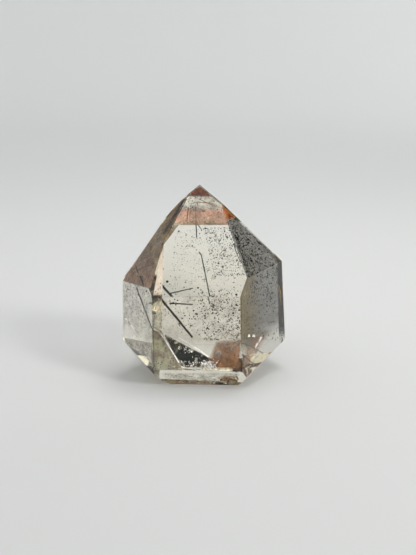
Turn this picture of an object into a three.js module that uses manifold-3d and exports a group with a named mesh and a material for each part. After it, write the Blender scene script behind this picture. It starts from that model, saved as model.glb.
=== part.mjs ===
// A rutilated quartz tower: one clear six-sided quartz crystal with a slanted tip, standing on a flat base.
// Millimetres, +Z up. The broad front prism face looks toward -Y, and the right side is +X.
// The origin lies on the base, under the middle of the stone's bounding box.
import * as THREE from 'three';
import { mergeVertices } from 'three/addons/utils/BufferGeometryUtils.js';
import Module from 'manifold-3d';

// Each facet is a plane. Azimuth is the way it looks, in degrees turned from the front toward the right.
// Tilt is how far it looks above the horizon. Reach is its distance from the middle of the base.

// The six prism faces stand about 60 degrees apart and taper slightly toward the tip.
const PRISM_FACES = {
  front: { azimuth: 0, tilt: 2.5, reach: 11.85 },
  frontRight: { azimuth: 60.5, tilt: 2, reach: 11.6 },
  backRight: { azimuth: 120, tilt: 3.5, reach: 14.45 },
  back: { azimuth: 180.5, tilt: 1, reach: 11.7 },
  backLeft: { azimuth: 240.5, tilt: 1, reach: 12.55 },
  frontLeft: { azimuth: 299, tilt: 0.5, reach: 13.3 },
};

// The tip faces lie over the prism faces. The front one is much the largest, so the tip leans back.
const TIP_FACES = {
  front: { azimuth: 0.5, tilt: 39, reach: 18.95 },
  frontRight: { azimuth: 59, tilt: 37, reach: 20.35 },
  backRight: { azimuth: 110, tilt: 45, reach: 23.75 },
  back: { azimuth: 180.5, tilt: 36, reach: 22 },
  backLeft: { azimuth: 241, tilt: 30, reach: 19.25 },
  backLeftUpper: { azimuth: 240.5, tilt: 38, reach: 22.2 },
  frontLeft: { azimuth: 296, tilt: 32.5, reach: 20.35 },
  leftShoulder: { azimuth: 304, tilt: 43, reach: 23.1 },
};

// The heel faces bring the prism in to the base, in two or three steps on each side.
const HEEL_FACES = {
  front: { azimuth: -3.5, tilt: -40.5, reach: 6.5 },
  rightUpper: { azimuth: 70, tilt: -38, reach: 7.05 },
  rightLower: { azimuth: 66, tilt: -56, reach: 5 },
  backRightUpper: { azimuth: 112, tilt: -38, reach: 8.35 },
  backRightLower: { azimuth: 108, tilt: -56, reach: 5.25 },
  backUpper: { azimuth: 182, tilt: -40, reach: 6.6 },
  backLower: { azimuth: 182, tilt: -60, reach: 3.75 },
  backLeftUpper: { azimuth: 248, tilt: -36, reach: 7.45 },
  backLeftLower: { azimuth: 248, tilt: -52, reach: 4.75 },
  leftUpper: { azimuth: 289, tilt: -35.5, reach: 8.05 },
  leftMiddle: { azimuth: 288, tilt: -50, reach: 5.6 },
  leftLower: { azimuth: 294, tilt: -66, reach: 3.55 },
};

const BASE = { azimuth: 0, tilt: -90, reach: 0 };

// Shell-shaped chips. A ball bites in by its depth where the chip lies, from the side given by toward.
const CHIPS = [
  { at: [-3.4, 1.2, 31.6], toward: [-0.54, -0.31, 0.79], radius: 0.9, depth: 0.3 },
  { at: [4.3, -10.1, 1.5], toward: [-0.05, -0.76, -0.65], radius: 4.6, depth: 0.32 },
  { at: [-14.7, -0.8, 6.1], toward: [-0.96, -0.1, -0.26], radius: 1.1, depth: 0.2 },
  { at: [8.6, 11.4, 21.6], toward: [0.55, 0.68, 0.48], radius: 1.6, depth: 0.3 },
];

// The rough block that the facets are cut from, and the fineness of a chip's ball.
const ROUGH_WIDTH = 60;
const CHIP_SEGMENTS = 32;
const CHIP_RINGS = 20;

const QUARTZ_COLOUR = 0xddd9cc;
const QUARTZ_ROUGHNESS = 0.05;

const wasm = await Module();
wasm.setup();

// Turns a closed three.js geometry into a solid that can be cut.
function toSolid(geometry) {
  const bare = geometry.clone();
  bare.deleteAttribute('normal');
  bare.deleteAttribute('uv');
  const merged = mergeVertices(bare, 1e-4);
  return new wasm.Manifold(new wasm.Mesh({
    numProp: 3,
    vertProperties: new Float32Array(merged.attributes.position.array),
    triVerts: new Uint32Array(merged.index.array),
  }));
}

// Turns a cut solid back into a three.js geometry.
function toGeometry(solid) {
  const mesh = solid.getMesh();
  const geometry = new THREE.BufferGeometry();
  geometry.setAttribute('position', new THREE.BufferAttribute(new Float32Array(mesh.vertProperties), 3));
  geometry.setIndex(new THREE.BufferAttribute(new Uint32Array(mesh.triVerts), 1));
  return geometry;
}

// The outward direction of a facet.
function facetDirection({ azimuth, tilt }) {
  const turn = THREE.MathUtils.degToRad(azimuth);
  const rise = THREE.MathUtils.degToRad(tilt);
  return new THREE.Vector3(
    Math.sin(turn) * Math.cos(rise),
    -Math.cos(turn) * Math.cos(rise),
    Math.sin(rise),
  );
}

// The waste outside one facet: a wide block whose inner face lies on the facet.
function wasteBeyond(facet) {
  const direction = facetDirection(facet);
  const block = new THREE.BoxGeometry(2 * ROUGH_WIDTH, 2 * ROUGH_WIDTH, ROUGH_WIDTH);
  const turn = new THREE.Quaternion().setFromUnitVectors(new THREE.Vector3(0, 0, 1), direction);
  const middle = direction.clone().multiplyScalar(facet.reach + ROUGH_WIDTH / 2);
  block.applyMatrix4(new THREE.Matrix4().compose(middle, turn, new THREE.Vector3(1, 1, 1)));
  return toSolid(block);
}

// The ball that bites one chip.
function chipBall({ at, toward, radius, depth }) {
  const outward = new THREE.Vector3(...toward).normalize();
  const middle = new THREE.Vector3(...at).addScaledVector(outward, radius - depth);
  const ball = new THREE.SphereGeometry(radius, CHIP_SEGMENTS, CHIP_RINGS);
  ball.translate(middle.x, middle.y, middle.z);
  return toSolid(ball);
}

// The stone: a rough block, cut back to every facet and then chipped.
function crystalGeometry() {
  let stone = toSolid(new THREE.BoxGeometry(ROUGH_WIDTH, ROUGH_WIDTH, 2 * ROUGH_WIDTH));
  const facets = [
    ...Object.values(PRISM_FACES),
    ...Object.values(TIP_FACES),
    ...Object.values(HEEL_FACES),
    BASE,
  ];
  for (const facet of facets) stone = stone.subtract(wasteBeyond(facet));
  for (const chip of CHIPS) stone = stone.subtract(chipBall(chip));
  return centredOnBase(toGeometry(stone));
}

// Moves the stone so that the middle of its bounding box stands over the origin.
function centredOnBase(geometry) {
  geometry.computeBoundingBox();
  const { min, max } = geometry.boundingBox;
  geometry.translate(-(min.x + max.x) / 2, -(min.y + max.y) / 2, -min.z);
  return geometry;
}

const quartz = new THREE.MeshStandardMaterial({
  color: QUARTZ_COLOUR,
  roughness: QUARTZ_ROUGHNESS,
  metalness: 0,
});
const tower = new THREE.Mesh(crystalGeometry(), quartz);
tower.name = 'quartz_tower';

const stone = new THREE.Group();
stone.name = 'rutilated_quartz_tower';
stone.add(tower);

export default stone;
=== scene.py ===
import math
import random

import bmesh
import bpy
from mathutils import Matrix, Vector, noise
from mathutils.bvhtree import BVHTree


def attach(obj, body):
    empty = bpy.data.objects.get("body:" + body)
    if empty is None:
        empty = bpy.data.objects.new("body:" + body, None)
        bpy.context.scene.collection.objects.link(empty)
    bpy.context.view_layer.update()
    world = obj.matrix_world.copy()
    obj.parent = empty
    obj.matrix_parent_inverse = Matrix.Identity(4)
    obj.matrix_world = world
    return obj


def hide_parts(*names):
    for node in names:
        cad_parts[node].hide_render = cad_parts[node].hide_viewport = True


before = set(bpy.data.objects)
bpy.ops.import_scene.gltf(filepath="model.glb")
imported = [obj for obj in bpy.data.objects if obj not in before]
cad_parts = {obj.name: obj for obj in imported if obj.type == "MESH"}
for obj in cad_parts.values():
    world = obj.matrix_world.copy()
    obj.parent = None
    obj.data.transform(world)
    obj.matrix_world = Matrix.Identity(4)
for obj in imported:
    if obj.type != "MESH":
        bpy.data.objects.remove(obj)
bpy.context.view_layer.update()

# A clear quartz point with dark needles, hairs, specks, moss and old cracks sealed inside it.
# Lengths in the settings are millimetres, and pixels are those of the 416 x 555 photograph.

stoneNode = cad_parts["quartz_tower"]
seeds = {"hairs": 7, "specks": 21, "moss": 5, "flakes": 11, "rims": 40}


def metres(point):
    return Vector(point) / 1000


def addObject(name, data):
    added = bpy.data.objects.new(name, data)
    bpy.context.collection.objects.link(added)
    return added


def objectFrom(bm, name, material, smoothUnder=None):
    # turns a finished bmesh into an object, smooth across the edges that turn less than an angle
    bmesh.ops.recalc_face_normals(bm, faces=bm.faces)
    mesh = bpy.data.meshes.new(name)
    bm.to_mesh(mesh)
    bm.free()
    mesh.materials.append(material)
    if smoothUnder:
        mesh.polygons.foreach_set("use_smooth", [True] * len(mesh.polygons))
        mesh.set_sharp_from_angle(angle=math.radians(smoothUnder))
    return addObject(name, mesh)


def pieceFrom(bm, name, finish, smoothUnder=None):
    # makes a piece that rides on the stone's body
    piece = objectFrom(bm, name, finishes[finish], smoothUnder)
    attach(piece, "root")
    print("made", name, "with", len(piece.data.polygons), "faces")
    return piece


def lookingFrom(place, aim):
    # where a camera or a lamp stands, turned to look at its aim
    start = metres(place)
    turn = (metres(aim) - start).to_track_quat("-Z", "Y")
    return Matrix.Translation(start) @ turn.to_matrix().to_4x4()


# Camera

photo = {"width": 416, "height": 555}
cameraSettings = {
    "lens": 80,
    "sensor": 36,  # along the photograph's tall side
    "place": (0.65, -213.91, 66.56),
    "aim": (0.65, -3.85, 18.06),
    "clip": (0.01, 5),  # metres
}


def placeCamera(settings):
    data = bpy.data.cameras.new("camera")
    data.lens = settings["lens"]
    data.sensor_width = settings["sensor"]
    data.clip_start, data.clip_end = settings["clip"]
    camera = addObject("camera", data)
    camera.matrix_world = lookingFrom(settings["place"], settings["aim"])
    bpy.context.scene.camera = camera
    bpy.context.view_layer.update()
    return camera


camera = placeCamera(cameraSettings)
print("camera placed")


# Sight lines: where a pixel of the photograph looks inside the stone

quartzIor = 1.544
pixelsPerUnit = cameraSettings["lens"] / cameraSettings["sensor"] * photo["height"]
brightSides = [
    Vector((0, -0.62, 0.78)),  # the sky in front
    Vector((-0.25, -0.86, -0.44)),  # the floor in front
]
leastFacing = 0.15  # a facet looks to a bright side when the cosine between them is above this

stoneTree = BVHTree.FromObject(stoneNode, bpy.context.evaluated_depsgraph_get())


def bentInward(heading, normal):
    # Snell's law, for a ray that enters the stone against a face's normal
    head = -normal.dot(heading)
    ratio = 1 / quartzIor
    return ratio * heading + (ratio * head - math.sqrt(1 - ratio**2 * (1 - head**2))) * normal


def sightInside(pixel):
    # the ray through a pixel, bent at the face that it meets
    right = (pixel[0] - photo["width"] / 2) / pixelsPerUnit
    rise = (photo["height"] / 2 - pixel[1]) / pixelsPerUnit
    start = camera.matrix_world.translation
    heading = (camera.matrix_world.to_3x3() @ Vector((right, rise, -1))).normalized()
    entry, normal, _, _ = stoneTree.ray_cast(start, heading)
    if entry is None:
        return None, None, None
    return entry, bentInward(heading, normal).normalized(), normal


def seenAt(pixel, depth):
    # the point that shows at a pixel, at a depth in millimetres along the bent ray
    entry, heading, _ = sightInside(pixel)
    return entry and entry + heading * depth / 1000


def mirrorTo(pixel):
    # the way a flake at a pixel must face to show the bright side that its facet looks to
    _, heading, normal = sightInside(pixel)
    toward = next((side for side in brightSides if normal.dot(side) > leastFacing), normal)
    leaving = -bentInward(-toward, normal)
    return (leaving - heading).normalized()


def seenOnMirror(pixels, depth):
    # the points that show at some pixels, on a plane that mirrors a bright side at their middle
    middle = sum((Vector(pixel) for pixel in pixels), Vector((0, 0))) / len(pixels)
    place = seenAt(middle, depth)
    facing = mirrorTo(middle)
    points = []
    for pixel in pixels:
        entry, heading, _ = sightInside(pixel)
        points.append(entry + heading * (place - entry).dot(facing) / heading.dot(facing))
    return points


def isInside(point, margin):
    # whether a point lies deeper under the faces than a margin
    if point is None:
        return False
    nearest, normal, _, _ = stoneTree.find_nearest(point)
    return (nearest - point).dot(normal) > margin / 1000


# Shared effects, as node groups

def linker(tree):
    # a function that joins an output of one node to an input of another, each by its name or number
    def link(source, output, target, socket):
        tree.links.new(source.outputs[output], target.inputs[socket])

    return link


colourSockets = ("Dark", "Light", "Color")  # all others are numbers


def newGroup(name, inputs, outputs):
    # inputs come with their usual values
    group = bpy.data.node_groups.new(name, "ShaderNodeTree")
    for side, sockets in (("INPUT", inputs), ("OUTPUT", outputs)):
        for socketName in sockets:
            kind = "NodeSocketColor" if socketName in colourSockets else "NodeSocketFloat"
            group.interface.new_socket(socketName, in_out=side, socket_type=kind)
    for socket in group.interface.items_tree:
        if inputs.get(socket.name) and socket.in_out == "INPUT":
            socket.default_value = inputs[socket.name]
    given = group.nodes.new("NodeGroupInput")
    made = group.nodes.new("NodeGroupOutput")
    return group, given, made, linker(group)


def addNode(tree, kind, **settings):
    # a new node, with its attributes and, by name or number, its input values
    node = tree.nodes.new(kind)
    values = settings.pop("inputs", {})
    for key, value in settings.items():
        setattr(node, key, value)
    for key, value in values.items():
        node.inputs[key].default_value = value
    return node


def addMath(tree, operation, **settings):
    return addNode(tree, "ShaderNodeMath", operation=operation, **settings)


def addRamp(tree, start=(0, 1), end=(0, 1)):
    # turns one range of values into another
    limits = {"From Min": start[0], "From Max": start[1], "To Min": end[0], "To Max": end[1]}
    return addNode(tree, "ShaderNodeMapRange", inputs=limits)


def addBump(tree, strength, distance):
    return addNode(tree, "ShaderNodeBump", inputs={"Strength": strength, "Distance": distance})


def mottleGroup():
    # two tones that trade places in soft blotches, and the mask that mixes them
    group, given, made, link = newGroup(
        "mottle", {"Scale": 500.0, "Contrast": 1.0, "Dark": None, "Light": None}, ["Color", "Mask"])
    place = addNode(group, "ShaderNodeTexCoord")
    cloud = addNode(group, "ShaderNodeTexNoise", inputs={"Detail": 6.0, "Roughness": 0.62})
    centred = addMath(group, "SUBTRACT", inputs={1: 0.5})
    spread = addMath(group, "MULTIPLY")
    mask = addMath(group, "ADD", use_clamp=True, inputs={1: 0.5})
    blend = addNode(group, "ShaderNodeMix", data_type="RGBA")
    link(place, "Object", cloud, "Vector")
    link(given, "Scale", cloud, "Scale")
    link(cloud, "Fac", centred, 0)
    link(centred, 0, spread, 0)
    link(given, "Contrast", spread, 1)
    link(spread, 0, mask, 0)
    link(mask, 0, blend, "Factor")
    link(given, "Dark", blend, "A")
    link(given, "Light", blend, "B")
    link(blend, "Result", made, "Color")
    link(mask, 0, made, "Mask")
    return group


def crackleGroup():
    # shards: a tone for each, and a height that tilts them
    group, given, made, link = newGroup("crackle", {"Scale": 900.0, "Warp": 0.0006}, ["Shard", "Height"])
    place = addNode(group, "ShaderNodeTexCoord")
    sway = addNode(group, "ShaderNodeTexNoise", inputs={"Scale": 420.0, "Detail": 3.0})
    centre = addNode(group, "ShaderNodeVectorMath", operation="SUBTRACT", inputs={1: (0.5, 0.5, 0.5)})
    grow = addNode(group, "ShaderNodeVectorMath", operation="SCALE")
    moved = addNode(group, "ShaderNodeVectorMath", operation="ADD")
    cells = addNode(group, "ShaderNodeTexVoronoi", feature="F1")
    tone = addNode(group, "ShaderNodeSeparateColor")
    link(place, "Object", sway, "Vector")
    link(sway, "Color", centre, 0)
    link(centre, "Vector", grow, 0)
    link(given, "Warp", grow, "Scale")
    link(place, "Object", moved, 0)
    link(grow, "Vector", moved, 1)
    link(moved, "Vector", cells, "Vector")
    link(given, "Scale", cells, "Scale")
    link(cells, "Color", tone, "Color")
    link(tone, "Red", made, "Shard")
    link(cells, "Distance", made, "Height")
    return group


def dustGroup():
    # a haze that thickens and thins in clouds, with crisp dots in it, fading out toward a sheet's rim, for
    # the dust films and the films of painted shade, light and reflection
    usual = {"Cover": 0.5, "Clouds": 0.5, "Cloud Scale": 400.0, "Dot Scale": 2400.0, "Dot Size": 0.26,
             "Dot Share": 0.5}
    group, given, made, link = newGroup("dust", usual, ["Alpha", "Dots"])
    place = addNode(group, "ShaderNodeTexCoord")
    cloud = addNode(group, "ShaderNodeTexNoise", inputs={"Detail": 5.0, "Roughness": 0.6})
    centred = addMath(group, "SUBTRACT", inputs={1: 0.5})
    swing = addMath(group, "MULTIPLY_ADD")
    cells = addNode(group, "ShaderNodeTexVoronoi", feature="F1")
    tone = addNode(group, "ShaderNodeSeparateColor")
    chosen = addMath(group, "LESS_THAN")
    near = addMath(group, "LESS_THAN")
    dots = addMath(group, "MULTIPLY")
    both = addMath(group, "MAXIMUM")
    rim = addNode(group, "ShaderNodeAttribute", attribute_name="cover")
    faded = addMath(group, "MULTIPLY", use_clamp=True)
    link(place, "Object", cloud, "Vector")
    link(given, "Cloud Scale", cloud, "Scale")
    link(cloud, "Fac", centred, 0)
    link(centred, 0, swing, 0)
    link(given, "Clouds", swing, 1)
    link(given, "Cover", swing, 2)
    link(place, "Object", cells, "Vector")
    link(given, "Dot Scale", cells, "Scale")
    link(cells, "Color", tone, "Color")
    link(tone, "Red", chosen, 0)
    link(given, "Dot Share", chosen, 1)
    link(cells, "Distance", near, 0)
    link(given, "Dot Size", near, 1)
    link(chosen, 0, dots, 0)
    link(near, 0, dots, 1)
    link(swing, 0, both, 0)
    link(dots, 0, both, 1)
    link(both, 0, faded, 0)
    link(rim, "Fac", faded, 1)
    link(faded, 0, made, "Alpha")
    link(dots, 0, made, "Dots")
    return group


effects = {"mottle": mottleGroup(), "crackle": crackleGroup(), "dust": dustGroup()}


def newMaterial(name):
    material = bpy.data.materials.new(name)
    material.use_nodes = True
    tree = material.node_tree
    return material, tree, tree.nodes["Principled BSDF"], linker(tree)


def addEffect(tree, name, **values):
    node = tree.nodes.new("ShaderNodeGroup")
    node.node_tree = effects[name]
    for key, value in values.items():
        node.inputs[key].default_value = value
    return node


# Materials

quartzFinish = {
    "absorbed": (0.925, 0.85, 0.62, 1),
    "density": 26.0,
    "wave": 55.0,  # the slow swell of a polished natural face
    "waveContrast": 1.0,
    "waveHeight": 0.05,
    "waveDepth": 0.001,
    "grain": 900.0,
    "grainContrast": 3.0,
    "polish": (0.0, 0.012),
}
mineralFinish = {"contrast": 3.5, "reliefDepth": 0.0001}
hazeContrast = 4.0
fractureFinish = {
    "shardEdge": 0.06,  # how softly a dark shard turns silvery
    "patchEdge": 0.25,  # how softly the sheet breaks up into patches
    "patchScale": 0.45,  # to the shards' scale
    "patchContrast": 6.0,
    "relief": 0.8,
    "reliefDepth": 0.0003,
    "roughness": 0.18,
}


def quartzMaterial(settings):
    material, tree, surface, link = newMaterial("clear_quartz")
    surface.inputs["Base Color"].default_value = (1, 1, 1, 1)
    surface.inputs["Transmission Weight"].default_value = 1
    surface.inputs["IOR"].default_value = quartzIor
    grain = addEffect(tree, "mottle", Scale=settings["grain"], Contrast=settings["grainContrast"])
    polish = addRamp(tree, end=settings["polish"])
    swell = addEffect(tree, "mottle", Scale=settings["wave"], Contrast=settings["waveContrast"])
    bump = addBump(tree, settings["waveHeight"], settings["waveDepth"])
    link(grain, "Mask", polish, "Value")
    link(polish, "Result", surface, "Roughness")
    link(swell, "Mask", bump, "Height")
    link(bump, "Normal", surface, "Normal")
    depths = addNode(tree, "ShaderNodeVolumeAbsorption", inputs={
        "Color": settings["absorbed"], "Density": settings["density"]})
    link(depths, "Volume", tree.nodes["Material Output"], "Volume")
    return material


def mineralMaterial(name, dark, light, scale, roughness, metallic=0.0, relief=0.3, shine=0.5):
    # an opaque mineral: two mottled tones, a roughness that follows them, and a fine relief
    material, tree, surface, link = newMaterial(name)
    tones = addEffect(
        tree, "mottle", Scale=scale, Contrast=mineralFinish["contrast"], Dark=dark, Light=light)
    gloss = addRamp(tree, end=roughness)
    bump = addBump(tree, relief, mineralFinish["reliefDepth"])
    link(tones, "Color", surface, "Base Color")
    link(tones, "Mask", gloss, "Value")
    link(gloss, "Result", surface, "Roughness")
    link(tones, "Mask", bump, "Height")
    link(bump, "Normal", surface, "Normal")
    surface.inputs["Metallic"].default_value = metallic
    surface.inputs["Specular IOR Level"].default_value = shine
    return material


def fractureMaterial(name, dark, light, scale, cover, shardCut, metallic=1.0):
    # a mirror of broken shards, silvery above the cut, and cover is how much of the sheet is there
    material, tree, surface, link = newMaterial(name)
    shards = addEffect(tree, "crackle", Scale=scale)
    shardEdge = fractureFinish["shardEdge"]
    patchEdge = fractureFinish["patchEdge"]
    pick = addRamp(tree, (shardCut - shardEdge, shardCut + shardEdge))
    tone = addNode(tree, "ShaderNodeMix", data_type="RGBA", inputs={"A": dark, "B": light})
    patches = addEffect(
        tree, "mottle", Scale=scale * fractureFinish["patchScale"],
        Contrast=fractureFinish["patchContrast"])
    veil = addRamp(tree, (1 - cover - patchEdge, 1 - cover + patchEdge))
    bump = addBump(tree, fractureFinish["relief"], fractureFinish["reliefDepth"])
    link(shards, "Shard", pick, "Value")
    link(pick, "Result", tone, "Factor")
    link(tone, "Result", surface, "Base Color")
    rim = addNode(tree, "ShaderNodeAttribute", attribute_name="cover")
    faded = addMath(tree, "MULTIPLY")
    link(patches, "Mask", veil, "Value")
    link(veil, "Result", faded, 0)
    link(rim, "Fac", faded, 1)
    link(faded, 0, surface, "Alpha")
    link(shards, "Height", bump, "Height")
    link(bump, "Normal", surface, "Normal")
    surface.inputs["Metallic"].default_value = metallic
    surface.inputs["Roughness"].default_value = fractureFinish["roughness"]
    return material


def hazeMaterial(
        name, tone, dotTone, metallic=0.0, roughness=0.8, grain=1100.0, swing=(0.55, 1.4), **dust):
    # a film in the quartz, dull or silky, which is fine dust in some films and painted shade, light or
    # reflection in others: swing is how far its tone falls and rises
    material, tree, surface, link = newMaterial(name)
    film = addEffect(tree, "dust", **dust)
    thin, thick = [tuple(min(1, factor * c) for c in tone) + (1,) for factor in swing]
    tones = addEffect(tree, "mottle", Scale=grain, Contrast=hazeContrast, Dark=thin, Light=thick)
    blend = addNode(tree, "ShaderNodeMix", data_type="RGBA", inputs={"B": dotTone})
    link(tones, "Color", blend, "A")
    link(film, "Dots", blend, "Factor")
    link(blend, "Result", surface, "Base Color")
    link(film, "Alpha", surface, "Alpha")
    surface.inputs["Metallic"].default_value = metallic
    surface.inputs["Roughness"].default_value = roughness
    return material


# Minerals: tones, scale and roughness. Fractures: tones, scale, cover and the shards' cut.
finishes = {
    "quartz": quartzMaterial(quartzFinish),
    "blackNeedle": mineralMaterial(
        "black_rutile", (0.004, 0.003, 0.003, 1), (0.02, 0.014, 0.01, 1), 2200.0, (0.3, 0.6), shine=0.15),
    "greyNeedle": mineralMaterial(
        "grey_rutile", (0.035, 0.032, 0.03, 1), (0.12, 0.1, 0.09, 1), 2200.0, (0.3, 0.6)),
    "copperHair": mineralMaterial(
        "copper_rutile", (0.2, 0.07, 0.02, 1), (0.55, 0.27, 0.1, 1), 1400.0, (0.25, 0.5), metallic=0.4),
    "goldHair": mineralMaterial(
        "golden_rutile", (0.75, 0.4, 0.08, 1), (1.0, 0.72, 0.25, 1), 1400.0, (0.25, 0.5)),
    "speck": mineralMaterial(
        "dark_specks", (0.002, 0.002, 0.002, 1), (0.02, 0.018, 0.012, 1), 700.0, (0.6, 0.9), shine=0.05),
    "brownMoss": mineralMaterial(
        "brown_moss", (0.06, 0.035, 0.012, 1), (0.36, 0.22, 0.08, 1), 1500.0, (0.7, 0.95)),
    "greenMoss": mineralMaterial(
        "olive_moss", (0.05, 0.05, 0.015, 1), (0.34, 0.31, 0.1, 1), 1500.0, (0.7, 0.95)),
    "darkFracture": fractureMaterial(
        "dark_healed_crack", (0.012, 0.017, 0.01, 1), (0.7, 0.7, 0.6, 1), 1500.0, 1.2, 0.74),
    "paleFracture": fractureMaterial(
        "pale_healed_crack", (0.6, 0.55, 0.45, 1), (0.95, 0.94, 0.9, 1), 1200.0, 0.9, 0.3),
    "veil": fractureMaterial(
        "milky_veil", (0.45, 0.44, 0.4, 1), (0.8, 0.8, 0.76, 1), 1500.0, 0.2, 0.4, metallic=0.6),
    "flake": mineralMaterial(
        "bright_flakes", (0.88, 0.86, 0.8, 1), (1.0, 0.99, 0.97, 1), 1500.0, (0.0, 0.04), metallic=1.0,
        relief=0.02),
}
blackDot = (0.006, 0.006, 0.006, 1)
brownDot = (0.03, 0.018, 0.01, 1)
silky = {"metallic": 1.0, "roughness": 0.22}
sparse = {"Dot Share": 0.2, "Dot Scale": 1500.0, "swing": (0.9, 1.1)}
hazes = {
    # tone, tone of the dots, cover, clouds, and what else differs from the usual
    # dark and grey: dust dots over painted shade, which stands in for the dark that the right-hand facets
    # show
    "darkDustAndShade": ((0.04, 0.03, 0.014), blackDot, 0.4, 0.25, sparse),
    "greyDustAndShade": ((0.04, 0.03, 0.014), blackDot, 0.5, 0.25, sparse),
    "oliveDust": ((0.5, 0.36, 0.09), brownDot, 0.45, 0.4, {"swing": (0.85, 1.1)}),
    # a dark strip along the back edge of the right facet
    "darkEdgeStrip": ((0.03, 0.02, 0.006), blackDot, 1.0, 0.5, {}),
    # brown: dust dots over a painted reflection of skin in shade
    "brownDustAndPaintedReflection": ((0.4, 0.23, 0.06), brownDot, 0.72, 0.8, {"Dot Share": 0.3, "Dot Scale": 1500.0}),
    # pink: a painted reflection of skin
    "pinkPaintedReflection": ((0.95, 0.5, 0.32), brownDot, 0.55, 0.6, {}),
    "umberHaze": ((0.04, 0.025, 0.012), blackDot, 0.85, 0.9, {}),
    "apexHaze": ((0.34, 0.07, 0.01), blackDot, 0.96, 0.5, {"Cloud Scale": 1500.0}),
    "milkHaze": ((0.3, 0.28, 0.22), blackDot, 0.22, 0.8, {"Cloud Scale": 500.0, "Dot Share": 0.2}),
    "tanHaze": ((0.3, 0.19, 0.05), brownDot, 0.12, 0.5, {"Dot Share": 0.06}),
    "orangeHaze": ((0.85, 0.25, 0.06), brownDot, 0.92, 0.7, {"Cloud Scale": 1200.0, "Dot Share": 0.3}),
    # lens, heel, rosy, taupe, pale and amber: painted reflection of skin low on the stone
    "lensPaintedReflection": ((0.95, 0.45, 0.14), brownDot, 0.42, 0.6, {}),
    "heelPaintedReflection": ((0.9, 0.68, 0.45), brownDot, 0.2, 1.2, {"Cloud Scale": 700.0}),
    "rosyPaintedReflection": ((0.58, 0.26, 0.08), brownDot, 0.68, 1.3, {"Cloud Scale": 500.0}),
    "taupePaintedReflection": ((0.98, 0.72, 0.5), brownDot, 0.76, 0.8, {"Cloud Scale": 600.0}),
    # strip and peach: painted light and painted reflection of skin over the dark under-base floor that the
    # left strip shows
    "stripPaintedLight": ((0.95, 0.75, 0.54), brownDot, 0.34, 0.8,
                  {"Cloud Scale": 900.0, "Dot Share": 0.3, **silky}),
    "palePaintedReflection": ((0.95, 0.8, 0.66), brownDot, 0.4, 0.9, {**silky, "Cloud Scale": 500.0}),
    "amberPaintedReflection": ((0.85, 0.42, 0.14), brownDot, 0.48, 0.4, {"swing": (0.9, 1.1), "Cloud Scale": 500.0}),
    "peachPaintedLight": ((0.98, 0.84, 0.66), brownDot, 0.92, 0.3, {"swing": (0.92, 1.02), **silky}),
    # blush and cream: painted reflection of skin on the sloping front facet near the tip
    "blushPaintedReflection": ((0.82, 0.42, 0.3), brownDot, 0.45, 1.2, {"grain": 420.0, **silky}),
    "creamPaintedReflection": ((0.92, 0.76, 0.62), brownDot, 0.66, 0.9, {"grain": 420.0, **silky}),
}
for name, (tone, dotTone, cover, clouds, rest) in hazes.items():
    finishes[name] = hazeMaterial(name, tone, dotTone, Cover=cover, Clouds=clouds, **rest)
print("materials made")


# The crystal

crystalSettings = {
    "mergeUnder": 0.001,
    "flatUnder": 0.6,  # degrees: the loose triangles of one facet become one face
    "bevelOver": 14,  # degrees: the edges that are worn
    "wear": 0.09,
    "wearSteps": 2,
    "chipFaceUnder": 0.6,  # square millimetres: smaller faces belong to the shell-shaped chips
}


def cleanStone(settings):
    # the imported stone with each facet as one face
    bm = bmesh.new()
    bm.from_mesh(stoneNode.data)
    bmesh.ops.remove_doubles(bm, verts=bm.verts, dist=settings["mergeUnder"] / 1000)
    bmesh.ops.dissolve_limit(
        bm, angle_limit=math.radians(settings["flatUnder"]), verts=bm.verts, edges=bm.edges)
    return bm


def makeCrystal(settings):
    bm = cleanStone(settings)
    for face in bm.faces:
        face.smooth = face.calc_area() < settings["chipFaceUnder"] / 1e6
    sharp = [e for e in bm.edges if e.calc_face_angle(0) > math.radians(settings["bevelOver"])]
    worn = bmesh.ops.bevel(
        bm, geom=sharp, offset=settings["wear"] / 1000, affect="EDGES", offset_type="OFFSET",
        segments=settings["wearSteps"], profile=0.5, material=-1, clamp_overlap=True)
    for face in worn["faces"]:
        face.smooth = False
    crystal = pieceFrom(bm, "quartz_crystal", "quartz")
    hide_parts("quartz_tower")


makeCrystal(crystalSettings)


# Needles and hairs

def sweepNeedle(bm, path, width, taper, sides):
    # a rod pushed from point to point, closed at both ends, whose far end has the taper's share of its width
    points = [Vector(p) for p in path]
    heading = (points[1] - points[0]).normalized()
    turn = heading.to_track_quat("Z", "Y").to_matrix().to_4x4()
    ring = bmesh.ops.create_circle(
        bm, cap_ends=True, segments=sides, radius=width / 2000, matrix=Matrix.Translation(points[0]) @ turn)
    cap = ring["verts"][0].link_faces[0]
    shrink = taper ** (1 / (len(points) - 1))
    for here, there in zip(points, points[1:]):
        grown = bmesh.ops.extrude_face_region(bm, geom=[cap])["geom"]
        cap = next(part for part in grown if isinstance(part, bmesh.types.BMFace))
        newHeading = (there - here).normalized()
        swing = heading.rotation_difference(newHeading).to_matrix().to_4x4()
        move = Matrix.Translation(there) @ Matrix.Scale(shrink, 4) @ swing @ Matrix.Translation(-here)
        bmesh.ops.transform(bm, matrix=move, verts=cap.verts)
        heading = newHeading


def waveredPath(start, end, sway, steps, rng):
    # a nearly straight line that bows a little, as a fine hair does
    side = (end - start).orthogonal().normalized()
    side.rotate(Matrix.Rotation(rng.uniform(0, math.tau), 3, end - start))
    return [start.lerp(end, i / steps) + side * sway / 1000 * math.sin(math.pi * i / steps)
            for i in range(steps + 1)]


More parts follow.
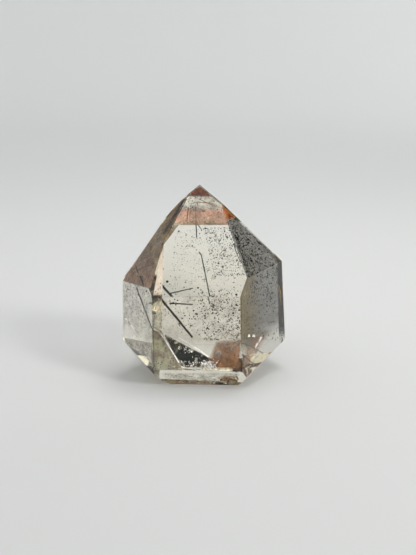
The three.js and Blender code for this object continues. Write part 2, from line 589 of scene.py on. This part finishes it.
# The long needles, by their ends in the stone's own millimetres.
needleShape = {"taper": 0.8, "sides": 6}
needles = {
    "black_needle_long": {"path": [(-8.85, -0.05, 15.7), (-2.1, 0.15, 7.05)], "width": 0.46},
    "black_needle_cross": {"path": [(-5.95, -3.95, 14.0), (-2.1, 1.25, 12.85)], "width": 0.26},
    "black_needle_middle": {
        "path": [(-0.95, 0.93, 20.31), (-0.55, 0.65, 19.85), (0.95, -5.85, 14.2)], "width": 0.25},
}


def makeNeedles():
    for name, rod in needles.items():
        bm = bmesh.new()
        sweepNeedle(bm, [metres(p) for p in rod["path"]], rod["width"], **needleShape)
        pieceFrom(bm, name, "blackNeedle")


makeNeedles()

# Finer needles and hairs, by the pixel and depth of both ends, and their width.
hairs = {
    "grey_needle_tip": ("greyNeedle", "dark_needles", [
        ((195.4, 203.5), 3, (196.6, 237.5), 7, 0.3),
        ((196.4, 220.5), 5, (201.6, 229.5), 6, 0.22),
        ((233.6, 243.6), 0.3, (234.4, 246.6), 0.3, 0.4),
        ((234.4, 246), 0.3, (241, 262.5), 0.3, 0.2),
    ]),
    "copper_hairs": ("copperHair", "golden_needles", [
        ((141.4, 267.8), 0.2, (153.6, 264.4), 0.2, 0.24),
        ((188.4, 207), 0.2, (187, 221), 0.2, 0.2),
        ((191.4, 208), 0.2, (190, 220), 0.2, 0.16),
        ((213.6, 204.5), 3, (209.8, 215), 3.6, 0.14),
        ((193.6, 196), 1.6, (190.4, 206.5), 2.2, 0.1),
        ((199, 193.5), 1.4, (200.2, 199.5), 2, 0.12),
        ((205, 194.5), 1.6, (203.8, 200), 2, 0.1),
        ((196, 202), 0.25, (215.5, 204.5), 0.3, 0.14),
        ((199, 199), 0.25, (221, 208), 0.3, 0.12),
        ((208, 197), 0.25, (225, 214), 0.3, 0.12),
    ]),
    "shoulder_dashes": ("blackNeedle", "dark_needles", [
        ((136.1, 267.2), 0.25, (138.7, 273.4), 0.25, 0.3),
        ((137, 271.4), 0.25, (140.4, 268.6), 0.25, 0.16),
        ((140.2, 276.6), 0.25, (143.4, 285.2), 0.25, 0.36),
    ]),
    "golden_hairs": ("goldHair", "golden_needles", [
        ((278, 284.6), 0.11, (280.2, 298), 0.11, 0.13),
        ((278.8, 285.6), 0.11, (281, 298), 0.11, 0.13),
        ((280.4, 297.6), 0.11, (282.4, 323), 0.11, 0.12),
        ((191, 207.5), 3.2, (189.6, 219), 3.6, 0.12),
    ]),
}
hairShape = {"taper": 0.7, "sides": 5}
hairBow = {"sway": 0.12, "steps": 5}


def makeHairs():
    rng = random.Random(seeds["hairs"])
    for name, (finish, slot, rods) in hairs.items():
        bm = bmesh.new()
        for start, startDepth, end, endDepth, width in rods:
            path = waveredPath(seenAt(start, startDepth), seenAt(end, endDepth), rng=rng, **hairBow)
            sweepNeedle(bm, path, width, **hairShape)
        pieceFrom(bm, name, finish)


makeHairs()


# Specks

grainLength = (0.6, 1.3)
grainWidth = (0.5, 1)
ballRadius = 0.5 / 1000  # of a grain one millimetre wide
grainSmoothUnder = 20  # degrees


def scatter(rng, spread):
    return Vector([rng.gauss(0, spread) for _ in range(3)])


def addGrain(bm, place, size, rng, flatness):
    # one small crystal grain, squashed and turned at random
    shape = Matrix.Diagonal((
        size * rng.uniform(*grainLength), size * rng.uniform(*grainWidth), size * flatness, 1))
    axis = scatter(rng, 1)
    turn = Matrix.Rotation(rng.uniform(0, math.tau), 4, axis)
    bmesh.ops.create_icosphere(
        bm, subdivisions=1, radius=ballRadius, matrix=Matrix.Translation(place) @ turn @ shape)


# Each cloud: the corners of the patch where the photograph shows it, two depths, count and usual size.
speckClouds = [
    # just under the two right-hand facets, in front of their dust and painted shade
    ([(225, 206), (281, 261), (249, 279), (238, 246)], (0.22, 0.44), 660, 0.26),
    ([(252, 279), (282, 262), (284, 306), (247, 306)], (0.22, 0.4), 480, 0.37),
    ([(247, 306), (284, 306), (284, 340), (244, 340)], (0.22, 0.4), 230, 0.35),
    # deep in the stone, seen through the sloping front facet
    ([(204, 228), (231, 227), (246, 276), (214, 276)], (2, 9), 900, 0.135),
    ([(176, 232), (204, 228), (214, 290), (168, 290)], (2, 11), 380, 0.125),
    ([(214, 276), (246, 276), (242, 297), (206, 297)], (2, 9), 80, 0.13),
    # deep in the stone, seen through the upright front facet
    ([(198, 299), (241, 299), (241, 340), (206, 340)], (2, 9), 720, 0.145),
    ([(165, 299), (198, 299), (206, 338), (172, 332)], (2, 9), 120, 0.15),
    ([(125, 284), (150, 292), (150, 330), (125, 320)], (1, 8), 260, 0.17),
    # over the left-hand facets, in front of their brown film of dust and painted reflection of skin
    ([(128, 276), (160, 222), (163, 238), (146, 284)], (0.15, 0.3), 140, 0.18),
    ([(166, 222), (184, 198), (186, 201), (168, 236)], (0.15, 0.3), 60, 0.18),
    ([(192, 196), (203, 185), (210, 192), (196, 199)], (0.15, 0.3), 50, 0.22),
    ([(186, 200), (210, 194), (222, 210), (190, 218)], (0.2, 0.3), 50, 0.16),
]
# The larger grains that stand out, each by its pixel, depth and size.
blackSpots = [
    (247.6, 243.2, 0.34, 0.34), (256.2, 261.4, 0.36, 0.46), (268.4, 257.6, 0.34, 0.4),
    (251.2, 254, 0.34, 0.3), (253.8, 236.4, 0.34, 0.3), (264.4, 286.6, 0.34, 0.34),
    (259.2, 299.8, 0.34, 0.4), (261, 304.6, 0.34, 0.3), (246.6, 319.6, 0.36, 0.42),
    (244.6, 322.2, 0.36, 0.36), (248, 317.8, 0.34, 0.28), (281, 325.4, 0.34, 0.42),
    (279, 305, 0.34, 0.3), (278.6, 280.6, 0.34, 0.34), (262.4, 281.6, 0.34, 0.28),
    (231, 216.6, 0.3, 0.3), (233.4, 217.4, 0.3, 0.34), (236.4, 218, 0.3, 0.3),
    (229.6, 214.6, 0.3, 0.24), (235, 221.4, 0.34, 0.26), (240.6, 228.2, 0.34, 0.28),
    (134, 268.6, 0.3, 0.24), (145, 300, 0.4, 0.26), (149.6, 303, 0.5, 0.34),
    (148, 296.6, 0.5, 0.3), (190.8, 206, 0.25, 0.3), (192, 203.6, 0.25, 0.22),
    (196, 189.6, 0.25, 0.3), (198.8, 186.8, 0.25, 0.26), (185.4, 201, 0.2, 0.26),
]
specks = {"smallest": 0.09, "largest": 0.6, "swing": 0.42, "flatness": 0.75}
skinMargin = 0.04  # millimetres of clear quartz left over a grain
spotMargin = 0.02
batch = 100  # grains made in one go


def inPatch(patch, across, down):
    top = Vector(patch[0]).lerp(Vector(patch[1]), across)
    low = Vector(patch[3]).lerp(Vector(patch[2]), across)
    return top.lerp(low, down)


def joinInto(bm, part):
    # adds a finished part, because the operators slow down on a mesh that grows large
    mesh = bpy.data.meshes.new("part")
    part.to_mesh(mesh)
    part.free()
    bm.from_mesh(mesh)
    bpy.data.meshes.remove(mesh)


def makeSpecks():
    rng = random.Random(seeds["specks"])
    bm = bmesh.new()
    for patch, depths, count, usual in speckClouds:
        part = bmesh.new()
        for i in range(count):
            pixel = inPatch(patch, rng.random(), rng.random())
            place = seenAt(pixel, rng.uniform(*depths))
            size = usual * rng.lognormvariate(0, specks["swing"])
            size = min(max(size, specks["smallest"]), specks["largest"])
            if isInside(place, size / 2 + skinMargin):
                addGrain(part, place, size, rng, specks["flatness"])
            if i % batch == batch - 1:
                joinInto(bm, part)
                part = bmesh.new()
        joinInto(bm, part)
    for x, y, depth, size in blackSpots:
        place = seenAt((x, y), depth)
        if isInside(place, size / 2 + spotMargin):
            addGrain(bm, place, size, rng, specks["flatness"])
    pieceFrom(bm, "black_specks", "speck", grainSmoothUnder)


makeSpecks()


# Moss: small clumps of grains

moss = {"smallest": 0.3, "flatness": 0.7}  # to the largest grain of a clump, and to a grain's size
mossClumps = {
    # pixel, depth, spread, grains, largest grain
    "brown_moss": ("brownMoss", [
        ((203, 268), 7, 0.55, 16, 0.2),
        ((207.6, 270), 7, 0.4, 14, 0.24),
        ((202.6, 300.5), 6, 0.25, 9, 0.3),
        ((190.5, 325.5), 6, 0.25, 8, 0.3),
        ((240, 323), 4.5, 0.2, 6, 0.24),
        ((259.4, 301), 0.36, 0.24, 12, 0.34),
        ((251.6, 295), 0.36, 0.24, 12, 0.3),
        ((209.5, 339.5), 5, 0.4, 12, 0.2),
        ((142, 349.5), 2, 0.22, 9, 0.3),
        ((158.5, 357.5), 3, 0.35, 14, 0.26),
    ]),
    "olive_moss": ("greenMoss", [
        ((213.6, 277), 7, 0.6, 24, 0.26),
        ((212.6, 305.5), 6, 0.4, 22, 0.36),
        ((216.4, 309), 6.2, 0.38, 16, 0.3),
        ((229, 315), 6, 0.2, 8, 0.24),
        ((225.5, 265.5), 6, 0.18, 8, 0.3),
        ((178.5, 231), 6, 0.2, 12, 0.3),
        ((163.4, 269), 3, 0.06, 5, 0.3),
        ((252.6, 290), 0.36, 0.3, 26, 0.34),
        ((256.8, 290.4), 0.36, 0.18, 10, 0.34),
        ((192.5, 276), 6, 0.15, 5, 0.2),
        ((151, 303), 3, 0.25, 8, 0.28),
    ]),
}


def makeMoss():
    rng = random.Random(seeds["moss"])
    for name, (finish, clumps) in mossClumps.items():
        bm = bmesh.new()
        for pixel, depth, spread, grains, largest in clumps:
            middle = seenAt(pixel, depth)
            for _ in range(grains):
                shift = scatter(rng, spread) / 2000
                size = largest * rng.uniform(moss["smallest"], 1)
                if isInside(middle + shift, size / 2 + skinMargin):
                    addGrain(bm, middle + shift, size, rng, moss["flatness"])
        pieceFrom(bm, name, finish, grainSmoothUnder)


makeMoss()


# Old cracks, and sheets of painted light and painted reflection of skin: thin sheets, each bowed and ragged

sheetShape = {"ruffle": 700, "thickness": 0.03}  # ruffles to the metre, and millimetres
sheetSmoothUnder = 50  # degrees


def addSheet(bm, corners, cells, bow=0.0, relief=0.0, ragged=0.0, feather=0.02, seed=1):
    # a grid laid between four corners, ruffled, faded toward its rim and given a thickness
    rng = random.Random(seed)
    cover = bm.verts.layers.float.get("cover") or bm.verts.layers.float.new("cover")
    across, down = cells
    grid = bmesh.ops.create_grid(bm, x_segments=across, y_segments=down, size=0.5)
    verts = grid["verts"]
    normal = (corners[1] - corners[0]).cross(corners[3] - corners[0]).normalized()
    for vert in verts:
        u = vert.co.x + 0.5
        v = 0.5 - vert.co.y
        rim = 4 * u * (1 - u) * v * (1 - v)
        flat = corners[0].lerp(corners[1], u).lerp(corners[3].lerp(corners[2], u), v)
        ruffle = noise.noise(flat * sheetShape["ruffle"] + Vector((seed, 0, 0))) * relief
        jitter = Vector((rng.uniform(-1, 1), rng.uniform(-1, 1), rng.uniform(-1, 1))) * ragged
        vert.co = flat + normal * (bow * rim * 4 + ruffle) / 1000 + jitter / 1000
        vert[cover] = min(1, min(u, 1 - u, v, 1 - v) / feather)
    faces = list({face for vert in verts for face in vert.link_faces})
    bmesh.ops.solidify(bm, geom=faces, thickness=sheetShape["thickness"] / 1000)


# Each sheet: four corners, with their depths or on a plane that mirrors a bright side, and its shape.
crackAndPaintedSheets = {
    "healed_crack": ("darkFracture", [
        {"corners": [(163, 333, 2.6), (210, 357.8, 2.6), (198, 371, 2.2), (180, 366, 2.2)],
         "cells": (28, 14), "bow": 0.15, "relief": 0.3, "ragged": 0.06, "seed": 3},
    ]),
    "feather_crack": ("paleFracture", [
        {"corners": [(261.6, 336.8, 3), (262, 338, 3), (256, 349.6, 3.4), (254, 346, 3.4)],
         "cells": (4, 10), "bow": 0.1, "relief": 0.1, "ragged": 0.03, "seed": 8},
    ]),
    "milky_veils": ("veil", [
        {"corners": [(124, 339, 1.6), (150, 343, 3), (152, 360, 3), (134, 352, 1.4)],
         "cells": (12, 8), "bow": 0.2, "relief": 0.25, "ragged": 0.05, "seed": 10},
        {"corners": [(244, 330, 3), (262, 332, 3), (258, 352, 3.4), (244, 368, 3)],
         "cells": (10, 14), "bow": 0.3, "relief": 0.3, "ragged": 0.05, "seed": 11},
    ]),
    # taupe, pale, rosy, amber and heel sheets: painted reflection of skin, not cracks
    "taupe_painted_reflection": ("taupePaintedReflection", [
        {"corners": [(152.8, 328.5, 0.5), (162.5, 333.5, 1.6), (184, 370.6, 1.4), (153.6, 370.4, 0.5)],
         "cells": (16, 20), "relief": 0.08, "feather": 0.05, "seed": 9},
    ]),
    "pale_painted_reflection": ("palePaintedReflection", [
        {"mirror": [(127, 341), (151, 344), (152.4, 365), (138, 352)], "depth": 1.6,
         "cells": (14, 14), "relief": 0.03, "feather": 0.12, "seed": 16},
    ]),
    "rosy_painted_reflection": ("rosyPaintedReflection", [
        {"corners": [(215.5, 340.6, 0.9), (241.6, 338, 0.9), (241.6, 371, 0.9), (204, 369, 0.9)],
         "cells": (20, 20), "relief": 0.06, "feather": 0.14, "seed": 12},
    ]),
    "amber_painted_reflection": ("amberPaintedReflection", [
        {"corners": [(242.8, 325, 0.6), (274, 329, 0.6), (258, 351, 0.6), (243.4, 371, 0.6)],
         "cells": (16, 16), "relief": 0.04, "feather": 0.3, "seed": 17},
    ]),
    "heel_painted_reflection": ("heelPaintedReflection", [
        {"corners": [(158, 372.6, 0.5), (241, 372.6, 0.5), (234, 383.2, 0.4), (171, 383.2, 0.4)],
         "cells": (24, 8), "relief": 0.06, "feather": 0.06, "seed": 18},
    ]),
    "heel_lens_painted_reflection": ("lensPaintedReflection", [
        {"corners": [(217, 377, 0.4), (239, 375, 0.4), (237, 381.6, 0.4), (221, 383.2, 0.4)],
         "cells": (12, 8), "relief": 0.05, "feather": 0.22, "seed": 19},
    ]),
    "umber_films": ("umberHaze", [
        {"corners": [(182.4, 199.4, 0.2), (186.2, 200.6, 0.2), (167, 236.5, 0.2), (162.2, 234.5, 0.2)],
         "cells": (6, 20), "relief": 0, "feather": 0.1, "seed": 25},
    ]),
    # pale and strip films: painted light and painted reflection of skin on the left strip
    "pale_painted_light_films": ("peachPaintedLight", [
        {"corners": [(162.6, 240.5, 0.4), (163.8, 240, 0.4), (162.6, 296.6, 0.4), (151.6, 296.4, 0.4)],
         "cells": (8, 24), "relief": 0.03, "feather": 0.06, "seed": 27},
    ]),
    "strip_painted_light_films": ("stripPaintedLight", [
        {"mirror": [(151.8, 297.6), (162.4, 297.6), (162.4, 332), (152.4, 328)], "depth": 1.2,
         "cells": (8, 20), "relief": 0.03, "feather": 0.03, "seed": 28},
    ]),
}


def makeCracksAndPaintedSheets():
    for name, (finish, sheets) in crackAndPaintedSheets.items():
        bm = bmesh.new()
        for sheet in sheets:
            shape = dict(sheet)
            if "mirror" in shape:
                corners = seenOnMirror(shape.pop("mirror"), shape.pop("depth"))
            else:
                corners = [seenAt((x, y), depth) for x, y, depth in shape.pop("corners")]
            addSheet(bm, corners, shape.pop("cells"), **shape)
        pieceFrom(bm, name, finish, sheetSmoothUnder)


makeCracksAndPaintedSheets()


# Films just under whole facets: dust where the stone once stopped growing, and films of painted shade,
# painted light and painted reflection of skin

facets = {
    # azimuth from the front toward the right, and tilt above the horizon
    "front": (0, 2.5),
    "frontTip": (0.5, 39),
    "right": (60.5, 2),
    "rightTip": (59, 37),
    "left": (299, 0.5),
    "leftTip": (296, 32.5),
    "leftShoulder": (304, 43),
}
ways = {
    "up": (0, 0, 1),
    "down": (0, 0, -1),
    "backAlongRight": (0.49, 0.87, 0),
    "frontAlongRight": (-0.49, -0.87, 0),
    "upRight": (0.74, 0, 0.67),
}
dustAndPaintedLightFilms = {
    # within: a way, and how far along it from the origin the film begins
    # fades: a way, and the two distances along it between which the film gains its full strength
    # dark, side and grey films: dust and painted shade on the right-hand facets
    "dark_dust_and_painted_shade_film": {
        "finish": "darkDustAndShade", "facets": ["rightTip"], "shrink": 0.962, "within": [("down", -28.1)]},
    "side_dust_and_painted_shade_film": {
        "finish": "darkDustAndShade", "facets": ["rightTip"], "shrink": 0.987,
        "within": [("down", -28.1), ("upRight", 22.9)], "fades": [("upRight", 22.9, 23.4)]},
    "grey_dust_and_painted_shade_film": {
        "finish": "greyDustAndShade", "facets": ["right"], "shrink": 0.962, "fades": [("up", 6.0, 9.5)]},
    # darker along the back edge of the right facet
    "dark_rim_film": {
        "finish": "darkEdgeStrip", "facets": ["right"], "shrink": 0.993,
        "within": [("backAlongRight", 7.1)], "fades": [("up", 5.5, 7.5), ("backAlongRight", 7.1, 7.5)]},
    "olive_dust_film": {
        "finish": "oliveDust", "facets": ["right"], "shrink": 0.966,
        "fades": [("frontAlongRight", 0.0, 4.5), ("up", 6.0, 9.0)]},
    "orange_film": {
        "finish": "orangeHaze", "facets": ["rightTip"], "shrink": 0.975, "within": [("up", 28.1)]},
    # brown film: painted reflection of skin, with dust dots
    "brown_dust_and_painted_reflection_film": {"finish": "brownDustAndPaintedReflection", "facets": ["leftTip", "leftShoulder"], "shrink": 0.975},
    # pink film: painted reflection of skin, low on the left tip facet
    "pink_painted_reflection_film": {
        "finish": "pinkPaintedReflection", "facets": ["leftTip"], "shrink": 0.979, "within": [("down", -23.0)],
        "fades": [("down", -23.0, -19.0)]},
    "milky_dust_film": {
        "finish": "milkHaze", "facets": ["left"], "shrink": 0.975, "fades": [("up", 7.0, 9.0)]},
    "tan_dust_film": {
        "finish": "tanHaze", "facets": ["front"], "shrink": 0.968, "fades": [("up", 6.5, 8.5)]},
    # blush and cream films: painted reflection of skin near the tip
    "blush_film": {
        "finish": "blushPaintedReflection", "facets": ["frontTip"], "shrink": 0.972, "within": [("up", 27.2)],
        "fades": [("up", 27.3, 28.2), ("down", -30.6, -29.6)]},
    "cream_film": {
        "finish": "creamPaintedReflection", "facets": ["frontTip"], "shrink": 0.976, "within": [("up", 29.4)],
        "fades": [("up", 29.6, 30.8), ("down", -32.5, -32.0)]},
    "apex_film": {
        "finish": "apexHaze", "facets": ["frontTip", "rightTip", "leftShoulder", "leftTip"], "shrink": 0.98,
        "within": [("up", 31.8)], "fades": [("up", 31.8, 32.3)]},
}
filmSettings = {
    "centre": (0, 0, 14.5),  # the films shrink toward this point
    "cuts": 12,
    "thickness": 0.02,
    "sameWay": 1.5,  # degrees
}


def facetLook(azimuth, tilt):
    # the outward direction of a facet
    turn = math.radians(azimuth)
    rise = math.radians(tilt)
    return Vector((math.sin(turn) * math.cos(rise), -math.cos(turn) * math.cos(rise), math.sin(rise)))


def makeDustAndPaintedLightFilms(settings):
    centre = metres(settings["centre"])
    for name, film in dustAndPaintedLightFilms.items():
        bm = cleanStone(crystalSettings)
        looks = [facetLook(*facets[facet]) for facet in film["facets"]]
        others = [face for face in bm.faces if all(
            face.normal.angle(look) > math.radians(settings["sameWay"]) for look in looks)]
        bmesh.ops.delete(bm, geom=others, context="FACES")
        for direction, limit in film.get("within", []):
            way = Vector(ways[direction]).normalized()
            bmesh.ops.bisect_plane(
                bm, geom=list(bm.verts) + list(bm.edges) + list(bm.faces), plane_co=way * limit / 1000,
                plane_no=way, clear_inner=True)
        bmesh.ops.triangulate(bm, faces=bm.faces)
        bmesh.ops.subdivide_edges(bm, edges=bm.edges, cuts=settings["cuts"], use_grid_fill=True)
        cover = bm.verts.layers.float.new("cover")
        for vert in bm.verts:
            vert[cover] = 1
            for direction, low, high in film.get("fades", []):
                along = vert.co.dot(Vector(ways[direction]).normalized()) * 1000
                vert[cover] *= min(1, max(0, (along - low) / (high - low)))
        bmesh.ops.scale(bm, vec=[film["shrink"]] * 3, space=Matrix.Translation(-centre), verts=bm.verts)
        bmesh.ops.solidify(bm, geom=bm.faces, thickness=settings["thickness"] / 1000)
        pieceFrom(bm, name, film["finish"])


makeDustAndPaintedLightFilms(filmSettings)


# Rims, lines and flakes of the old cracks

millimetresPerPixel = 0.175
rimShape = {"cells": (4, 1), "relief": 0.008, "feather": 0.01}
# Each rim and line: its pixels, depth and width.
crackRims = [
    ([(152.4, 326), (160, 328.6), (166.5, 331.4), (177, 336.6), (188, 343), (200, 350.6),
              (208.6, 357)], 1.4, 0.24),
    ([(153, 328.6), (159, 331.6), (164, 338), (169, 346.4), (174, 354.4), (179, 362.8)],
     1.2, 0.2),
    ([(181, 366.6), (188, 368.6), (196, 370), (202, 370.2)], 0.8, 0.2),
    ([(125.2, 318), (131, 325), (138.2, 333.2)], 0.5, 0.16),
    ([(261.4, 337), (257.6, 343), (254.2, 348.6)], 0.5, 0.3),
    ([(246, 336.6), (250, 335.2), (255, 336)], 0.5, 0.4),
    ([(231, 373.6), (236, 373.4), (240.6, 373)], 0.5, 0.2),
]
crackLines = [
    ([(242.8, 343.4), (248.5, 345), (254, 348), (259, 350.8), (263.5, 353.6)],
     0.45, 0.22),
    ([(243.2, 354.4), (247, 358.2), (250.5, 361.4), (253.4, 363.4), (254, 366.4)],
     0.45, 0.22),
    ([(151.9, 350), (152.2, 357), (153.4, 362.5), (156, 369)], 0.5, 0.2),
]
flakes = {
    "sway": 0.04,
    "depths": (0.7, 1.3),
    "sizes": (0.35, 1),
    "widths": (0.25, 0.8),
    "sides": (3, 4, 4, 5),
    "shape": {"radius1": 0.5 / 1000, "radius2": 0.35 / 1000, "depth": 0.04 / 1000},  # before it is sized
    "patches": [
        # middle pixel, spread in pixels, depth, count, largest flake
        ((210, 365.6), (9, 4.6), 0.75, 110, 0.55),
        ((206, 363.6), (5, 2.6), 0.7, 24, 0.75),
        ((190, 366), (11, 1.6), 0.75, 24, 0.45),
        ((184, 378), (8, 3), 0.6, 14, 0.45),
        ((199.6, 383.6), (4, 1.2), 0.5, 16, 0.55),
        ((212, 382), (5, 2), 0.5, 22, 0.6),
        ((235.2, 344.6), (1.3, 1.3), 0.6, 8, 0.5),
        ((249.6, 366.6), (2, 1.8), 0.5, 8, 0.45),
        ((187.6, 200), (2, 3.6), 0.4, 26, 0.5),
        ((192, 196.4), (4.4, 3), 0.4, 34, 0.5),
        ((186, 350), (4, 3.6), 1.9, 12, 0.5),
        ((191.6, 363), (3, 2.6), 1.6, 12, 0.5),
        ((172, 341), (6, 6), 1.9, 12, 0.35),
        ((199, 357), (5, 4), 1.9, 8, 0.35),
        ((140, 346), (5, 5), 0.8, 12, 0.3),
        ((146, 309), (3, 16), 0.5, 10, 0.22),
        ((160, 228), (8, 12), 0.2, 14, 0.2),
    ],
}


def makeCrackLines():
    bm = bmesh.new()
    for pixels, depth, width in crackLines:
        sweepNeedle(bm, [seenAt(pixel, depth) for pixel in pixels], width, **hairShape)
    pieceFrom(bm, "crack_lines", "greyNeedle")


def makeRims():
    # ribbons along the rims, leaning so that they mirror a bright side
    bm = bmesh.new()
    for pixels, depth, width in crackRims:
        for step, (here, there) in enumerate(zip(pixels, pixels[1:])):
            along = (Vector(there) - Vector(here)).normalized()
            across = Vector((-along.y, along.x)) * width / millimetresPerPixel / 2
            ends = ((here, -1), (there, -1), (there, 1), (here, 1))
            corners = seenOnMirror([Vector(end) + side * across for end, side in ends], depth)
            addSheet(bm, corners, seed=seeds["rims"] + step, **rimShape)
    pieceFrom(bm, "crack_rims", "flake")


def makeFlakes():
    rng = random.Random(seeds["flakes"])
    bm = bmesh.new()
    for middle, spread, depth, count, largest in flakes["patches"]:
        for _ in range(count):
            pixel = [middle[i] + rng.gauss(0, 0.5) * spread[i] for i in (0, 1)]
            place = seenAt(pixel, depth * rng.uniform(*flakes["depths"]))
            size = largest * rng.uniform(*flakes["sizes"])
            if not isInside(place, size / 2):
                continue
            sway = scatter(rng, flakes["sway"])
            turn = (mirrorTo(pixel) + sway).to_track_quat("Z", "Y").to_matrix().to_4x4()
            turn = turn @ Matrix.Rotation(rng.uniform(0, math.tau), 4, "Z")
            shape = Matrix.Diagonal((size, size * rng.uniform(*flakes["widths"]), 1, 1))
            bmesh.ops.create_cone(
                bm, cap_ends=True, cap_tris=False, segments=rng.choice(flakes["sides"]),
                matrix=Matrix.Translation(place) @ turn @ shape, **flakes["shape"])
    pieceFrom(bm, "crack_flakes", "flake")


makeCrackLines()
makeRims()
makeFlakes()


# Studio: a pale round cove, a soft key from the front right, a gentle world

studio = {
    "gap": 0.04,  # air under the ground base
    "floorRadius": 420,
    "coveRadius": 180,
    "wallHeight": 520,
    "coveSteps": 16,
    "around": 96,
    "smoothUnder": 30,  # degrees
    "paint": (0.78, 0.79, 0.785, 1),
    "paperDip": 0.985,  # the darker tone of the paper's grain
    "paperScale": 18.0,
    "paperContrast": 0.5,
    "paperRoughness": 0.9,
    "sidePaint": (0.12, 0.12, 0.12, 1),
    "sideFrom": (24, 36),  # degrees to the right from straight behind the stone, where the wall turns dark
    "sideTo": (66, 74),
    "sideRise": (90, 170),  # millimetres up the wall
    "skyBack": (0.01, 0.01, 0.01, 1),
    "skyFront": (0.8, 0.805, 0.81, 1),
    "skyStrength": 1.55,
    "skyTurn": (-0.8, 0.8),  # how far back the sky turns from its front tone to its back tone
}
lamps = {
    # millimetres, from the middle of the stone's base
    "key": {
        "place": (277, -249, 230), "aim": (0, 0, 15), "size": 110, "power": 0.62,
        "colour": (1.0, 0.985, 0.96)},
    "overhead": {
        "place": (30, 70, 240), "aim": (0, 60, 0), "size": 140, "power": 0.17, "colour": (1.0, 0.99, 0.97)},
    "wall": {
        "place": (300, 430, 260), "aim": (150, 600, 60), "size": 120, "power": 0.2,
        "colour": (0.97, 0.985, 1.0)},
}


def paperMaterial(settings):
    # pale paper, painted dark on one sector of the wall
    material, tree, surface, link = newMaterial("pale_paper")
    paper = addEffect(
        tree, "mottle", Scale=settings["paperScale"], Contrast=settings["paperContrast"],
        Dark=tuple(settings["paperDip"] * c for c in settings["paint"][:3]) + (1,), Light=settings["paint"])
    place = addNode(tree, "ShaderNodeTexCoord")
    parts = addNode(tree, "ShaderNodeSeparateXYZ")
    turn = addMath(tree, "ARCTAN2")
    side = addRamp(tree, [math.radians(angle) for angle in settings["sideFrom"]])
    past = addRamp(tree, [math.radians(angle) for angle in reversed(settings["sideTo"])])
    risen = addRamp(tree, [rise / 1000 for rise in settings["sideRise"]])
    sector = addMath(tree, "MULTIPLY")
    both = addMath(tree, "MULTIPLY")
    blend = addNode(tree, "ShaderNodeMix", data_type="RGBA", inputs={"B": settings["sidePaint"]})
    link(place, "Object", parts, "Vector")
    link(parts, "X", turn, 0)
    link(parts, "Y", turn, 1)
    link(turn, 0, side, "Value")
    link(turn, 0, past, "Value")
    link(parts, "Z", risen, "Value")
    link(side, "Result", sector, 0)
    link(past, "Result", sector, 1)
    link(sector, 0, both, 0)
    link(risen, "Result", both, 1)
    link(both, 0, blend, "Factor")
    link(paper, "Color", blend, "A")
    link(blend, "Result", surface, "Base Color")
    surface.inputs["Roughness"].default_value = settings["paperRoughness"]
    return material


def makeCove(settings):
    bm = bmesh.new()
    flat = settings["floorRadius"]
    bend = settings["coveRadius"]
    steps = settings["coveSteps"]
    low = -settings["gap"]
    rim = [Vector((0, 0, low)), Vector((flat, 0, low))]
    for i in range(1, steps + 1):
        turn = math.radians(90) * i / steps
        rim.append(Vector((flat + bend * math.sin(turn), 0, bend * (1 - math.cos(turn)) + low)))
    rim.append(Vector((flat + bend, 0, settings["wallHeight"])))
    verts = [bm.verts.new(p / 1000) for p in rim]
    edges = [bm.edges.new(pair) for pair in zip(verts, verts[1:])]
    bmesh.ops.spin(
        bm, geom=verts + edges, axis=(0, 0, 1), cent=(0, 0, 0), dvec=(0, 0, 0), angle=math.tau,
        steps=settings["around"], use_merge=True, use_duplicate=False)
    bmesh.ops.remove_doubles(bm, verts=bm.verts, dist=1e-6)
    cove = objectFrom(bm, "cove", paperMaterial(settings), settings["smoothUnder"])


def makeWorld(settings):
    world = bpy.data.worlds.new("studio")
    world.use_nodes = True
    bpy.context.scene.world = world
    tree = world.node_tree
    link = linker(tree)
    place = addNode(tree, "ShaderNodeTexCoord")
    parts = addNode(tree, "ShaderNodeSeparateXYZ")
    back = addRamp(tree, settings["skyTurn"])
    blend = addNode(tree, "ShaderNodeMix", data_type="RGBA", inputs={
        "A": settings["skyFront"], "B": settings["skyBack"]})
    link(place, "Generated", parts, "Vector")
    link(parts, "Y", back, "Value")
    link(back, "Result", blend, "Factor")
    link(blend, "Result", tree.nodes["Background"], "Color")
    tree.nodes["Background"].inputs["Strength"].default_value = settings["skyStrength"]


def makeLamps():
    for name, lamp in lamps.items():
        data = bpy.data.lights.new(name, "AREA")
        data.shape = "DISK"
        data.size = lamp["size"] / 1000
        data.energy = lamp["power"]
        data.color = lamp["colour"]
        light = addObject(name, data)
        light.matrix_world = lookingFrom(lamp["place"], lamp["aim"])
        light.visible_camera = False


makeCove(studio)
makeWorld(studio)
makeLamps()
bpy.context.scene.view_settings.view_transform = "Standard"
cycles = bpy.context.scene.cycles
cycles.max_bounces = 40  # light zigzags many times between the facets before it leaves
cycles.transmission_bounces = 40
cycles.glossy_bounces = 24
cycles.transparent_max_bounces = 32
print("studio made")
